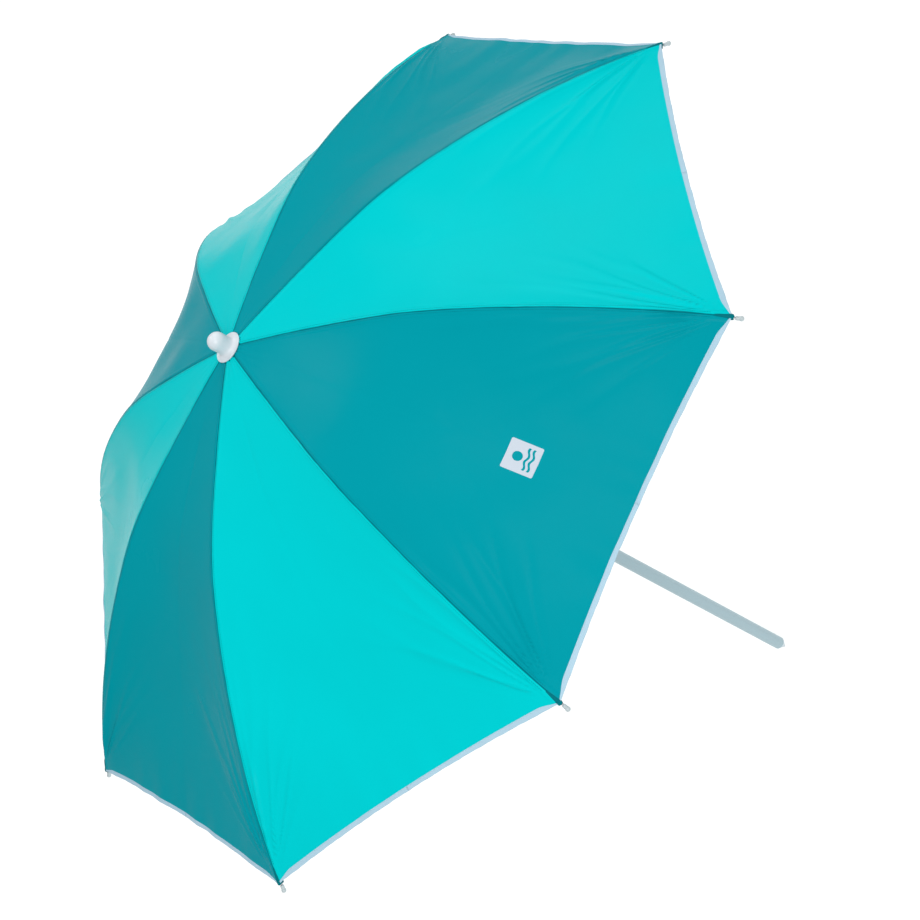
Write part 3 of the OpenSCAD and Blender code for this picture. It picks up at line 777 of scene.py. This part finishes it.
stitches = 0
for rib in range(1, RIBS + 1):
    inner = seam_lines(rib, 0.028, JOINT_R - 0.002)
    outer = seam_lines(rib, JOINT_R + 0.001, CANOPY_R - 0.022)
    for name, lines, body, thread in (
            (f"seam_thread_inner_{rib}", inner, "rib", thread_teal),
            (f"seam_thread_outer_{rib}", outer, "rib_end", thread_teal),
            (f"tape_thread_{rib}", tape_lines(rib), "rib_end", thread_white)):
        piece = run_tree(name, lines, row_of_beads, {**STITCH, "Material": thread})
        stitches += len(piece.data.polygons) // (BEAD_SEGMENTS * BEAD_RINGS)
        fold_with_rib(piece, rib, body)
print("stitches:", stitches)

# %% [markdown]
# ## Ties
# Under the canopy the seams are tied to the ribs in a few places, or the cloth would lift off in the
# wind. A tie is thread wound three times round the wire and up into the seam. The line is a squeezed
# coil, and the same tree of beads turns it into thread, with the beads so close that they join up.

# %% Ties that hold the cloth to the ribs
TIE_PLACES = ((0.11, "rib"), (0.21, "rib"), (0.42, "rib_end"), (0.53, "rib_end"), (0.635, "rib_end"))
WIRE_R = 0.0017
TIE_THREAD = 0.00035  # radius of the thread
TIE_PITCH = 0.0011  # from turn to turn along the rib
TIE_BEAD = {"Pitch": 0.0008, "Length": 0.0013, "Thickness": 2 * TIE_THREAD, "Material": thread_teal}


def tie_line(r, turns=3, steps=20):
    """A thread wound a few turns round the wire and up into the seam, near the first rib."""
    turn = np.linspace(0, 2 * math.pi * turns, turns * steps)
    half_width = WIRE_R + TIE_THREAD
    top, bottom = float(cloth_line(r) - rib_z(r)) - SHELL - TIE_THREAD, -half_width
    height = (top + bottom) / 2 + (top - bottom) / 2 * np.cos(turn)
    squeeze = np.where(height > half_width, 0.35, 1.0)
    along = r + TIE_PITCH * (turn / (2 * math.pi) - turns / 2)
    return np.stack([along, half_width * squeeze * np.sin(turn), rib_z(along) + height], -1)


for rib in range(1, RIBS + 1):
    for body in ("rib", "rib_end"):
        lines = [tie_line(r) @ rib_turn(rib).T for r, holder in TIE_PLACES if holder == body]
        tie = run_tree(f"tie_{body}_{rib}", lines, row_of_beads, TIE_BEAD)
        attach(tie, f"{body}_{rib}")
print("ties:", RIBS * len(TIE_PLACES))

# %% [markdown]
# ## Corners
# At each corner the seam ends in a small pocket over the rib, with a short tab of the same teal cloth
# sewn across it. Both are slim domed pads that follow the taut cloth, so one helper makes them. The
# rib's cap sticks out beyond: a short socket with a rounded bulb, which keeps the cloth on the wire.

# %% Corner pockets and tabs
PADS = {  # radii of the two ends, half widths at the two ends, lowest and highest point over the cloth
    "corner_pocket": ((CANOPY_R - 0.018, CANOPY_R + 0.0012), (0.0012, 0.0042), (-0.0085, 0.0009)),
    "corner_tab": ((CANOPY_R - 0.0032, CANOPY_R + 0.0022), (0.0042, 0.0036), (-0.0092, 0.0014))}
PAD_GRID = 9


def corner_pad(rib, ends, half_widths, heights):
    """Points and faces of a closed pad over the rib's end."""
    share = np.linspace(0, 1, PAD_GRID)[:, None]
    across = np.linspace(-1, 1, PAD_GRID)[None, :]
    r = ends[0] + (ends[1] - ends[0]) * share + 0 * across
    half_width = half_widths[0] + (half_widths[1] - half_widths[0]) * share
    side = across * half_width / (r * math.sin(STEP))
    dome = np.sqrt(np.clip(1 - across**2, 0, 1)) * np.sqrt(np.clip(1 - (2 * share - 1) ** 6, 0, 1))
    middle, upward = taut(r, side), slopes(taut, r, side)
    low, high = [(middle + (height * dome)[..., None] * upward) @ rib_turn(rib).T for height in heights]
    return np.concatenate([high.reshape(-1, 3), low.reshape(-1, 3)]), shell_faces(PAD_GRID, PAD_GRID)


for rib in range(1, RIBS + 1):
    for name, sizes in PADS.items():
        pad = make_piece(f"{name}_{rib}", *corner_pad(rib, *sizes), [thread_teal])
        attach(pad, f"rib_end_{rib}")
print("corners:", RIBS, "with", len(PADS), "pads each")

# %% Caps on the rib ends
TIP_PROFILE = (  # radius and distance from the rib's end, in mm: the socket, then the bulb
    [(0, 0.4), (2.4, 0.4), (2.85, 0.9), (2.95, 3.2), (2.9, 5.2)]
    + arc((0, 8.3), 3.65, -34, 90, 12)[:-1] + [(0, 11.95)])
tip_points, tip_faces = lathe([(r * MM, z * MM) for r, z in TIP_PROFILE], 24)
tip_turn = np.array(Matrix.Rotation(math.pi / 2 + CORNER_SLOPE, 3, "Y"))
rib_end = [CANOPY_R, 0, float(rib_z(np.array(CANOPY_R)))]
for rib in range(1, RIBS + 1):
    placed = (tip_points @ tip_turn.T + rib_end) @ rib_turn(rib).T
    tip = make_piece(f"tip_{rib}", placed, tip_faces, [shaded_tip_plastic])
    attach(tip, f"rib_end_{rib}")
    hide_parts(f"rib_tip_{rib}")
print("caps:", RIBS, "of", len(tip_points), "points")

# %% [markdown]
# ## The finial
# A turned plastic cap screws down through the cloth into the crown. A thin dished flange with a
# rolled rim holds the cloth, and a rounded knob stands on it. The lathe makes it from one profile.

# %% Finial
STEM = [(0, -15), (3.5, -15), (4, -14.5), (4, 1.4)]  # all in mm, heights from the cloth at the crown
FLANGE_UNDER = [(7, 1.5), (18, 0.35), (23.3, -0.3)]
RIM = [(24.1, -0.15), (24.5, 0.5), (24.5, 1.2), (24.1, 1.8), (23.4, 2.0), (22.7, 1.85)]
FLANGE_TOP = [(21.8, 1.6), (20, 1.75), (18.4, 2.2), (17, 2.9), (15.8, 3.9), (15, 5.2), (14.5, 6.8)]
KNOB = [(14.2, 9), (14.1, 12), (14.2, 15.5), (14.4, 19)]
KNOB_TOP = arc((0, 21.5), 14.5, 2, 90, 16)[:-1] + [(0, 36)]
finial_z = crown_z + CLOTH_LIFT
finial_profile = STEM + FLANGE_UNDER + RIM + FLANGE_TOP + KNOB + KNOB_TOP
finial_points, finial_faces = lathe([(r * MM, finial_z + z * MM) for r, z in finial_profile], 64)
finial = make_piece("finial_cap", finial_points, finial_faces, [bright_plastic])
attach(finial, "canopy_head")
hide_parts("finial")
print("finial top at", round(float(finial_points[:, 2].max()), 4), "m")

# %% [markdown]
# ## Finishes for the hard parts
# The pole, the frame and the mouldings already have the right shape, so they keep it and only take a
# finish.

# %% Finish for each hard part
FINISHES = {
    "ground_spike": white_plastic, "ground_tube": pole_paint, "clamp_collar": white_plastic,
    "clamp_screw": steel, "clamp_knob": white_plastic, "mast_tube": pole_paint,
    "tilt_fork": white_plastic, "tilt_pin": steel, "tilt_button": grey_plastic,
    "tilt_tongue": white_plastic, "canopy_pole": pole_paint, "crown": white_plastic,
    "crown_wire": steel, "runner": white_plastic, "runner_wire": steel, "runner_button": grey_plastic,
    "inner_rib": steel, "outer_rib": steel, "rib_joint": white_plastic, "stretcher": steel}
for name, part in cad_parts.items():
    kind = name.rstrip("0123456789").rstrip("_")
    if kind in FINISHES:
        part.data.materials.clear()
        part.data.materials.append(FINISHES[kind])
print("finishes on", len(FINISHES), "kinds of part")

# %% [markdown]
# ## Floor and light
# The floor is plain and so pale that it reads as white. The light is soft and comes from all round.
# A large panel to one side gives the canopy its gentle change of tone, a larger one on the far side
# fills the shadows, and two small ones give the crown and the corner folds their glints.

# %% Floor
FLOOR = 14.0  # half its side
FLOOR_Z = -0.0005  # just under the spike's point
floor_points = [(x * FLOOR, y * FLOOR, FLOOR_Z) for x, y in ((-1, -1), (1, -1), (1, 1), (-1, 1))]
floor_white, _, shader = new_material("floor white")
shader.inputs["Base Color"].default_value = (0.3, 0.3, 0.3, 1)
shader.inputs["Roughness"].default_value = 0.9
shader.inputs["Emission Color"].default_value = (1, 1, 1, 1)
shader.inputs["Emission Strength"].default_value = 0.85
floor = make_piece("floor", floor_points, [(0, 1, 2, 3)], [floor_white])
print("floor:", 2 * FLOOR, "m wide")

# %% Lights
CANOPY_MIDDLE = Vector((0, 0, 1.15))
world = bpy.data.worlds.new("studio")
world.use_nodes = True
world.node_tree.nodes["Background"].inputs[0].default_value = (1, 1, 1, 1)
world.node_tree.nodes["Background"].inputs[1].default_value = 0.5
bpy.context.scene.world = world


def soft_light(name, toward, distance, size, power):
    """A square area light some metres from the middle of the canopy, facing it, with its watts."""
    data = bpy.data.lights.new(name, "AREA")
    data.size = size
    data.energy = power
    lamp = bpy.data.objects.new(name, data)
    direction = Vector(toward).normalized()
    lamp.location = CANOPY_MIDDLE + direction * distance
    lamp.rotation_euler = direction.to_track_quat("Z", "Y").to_euler()
    bpy.context.scene.collection.objects.link(lamp)


soft_light("key", (0.8, -0.75, 0.8), 4.0, 1.6, 74)
soft_light("fill", (0.1, 0.9, 0.7), 4.5, 2.6, 56)
soft_light("crown glint", (-0.36, 0.26, 0.9), 4.0, 0.25, 18)
soft_light("corner glint", (0.38, -0.02, 0.92), 4.0, 0.25, 16)
bpy.context.scene.view_settings.view_transform = "Standard"
bpy.context.scene.view_settings.look = "None"
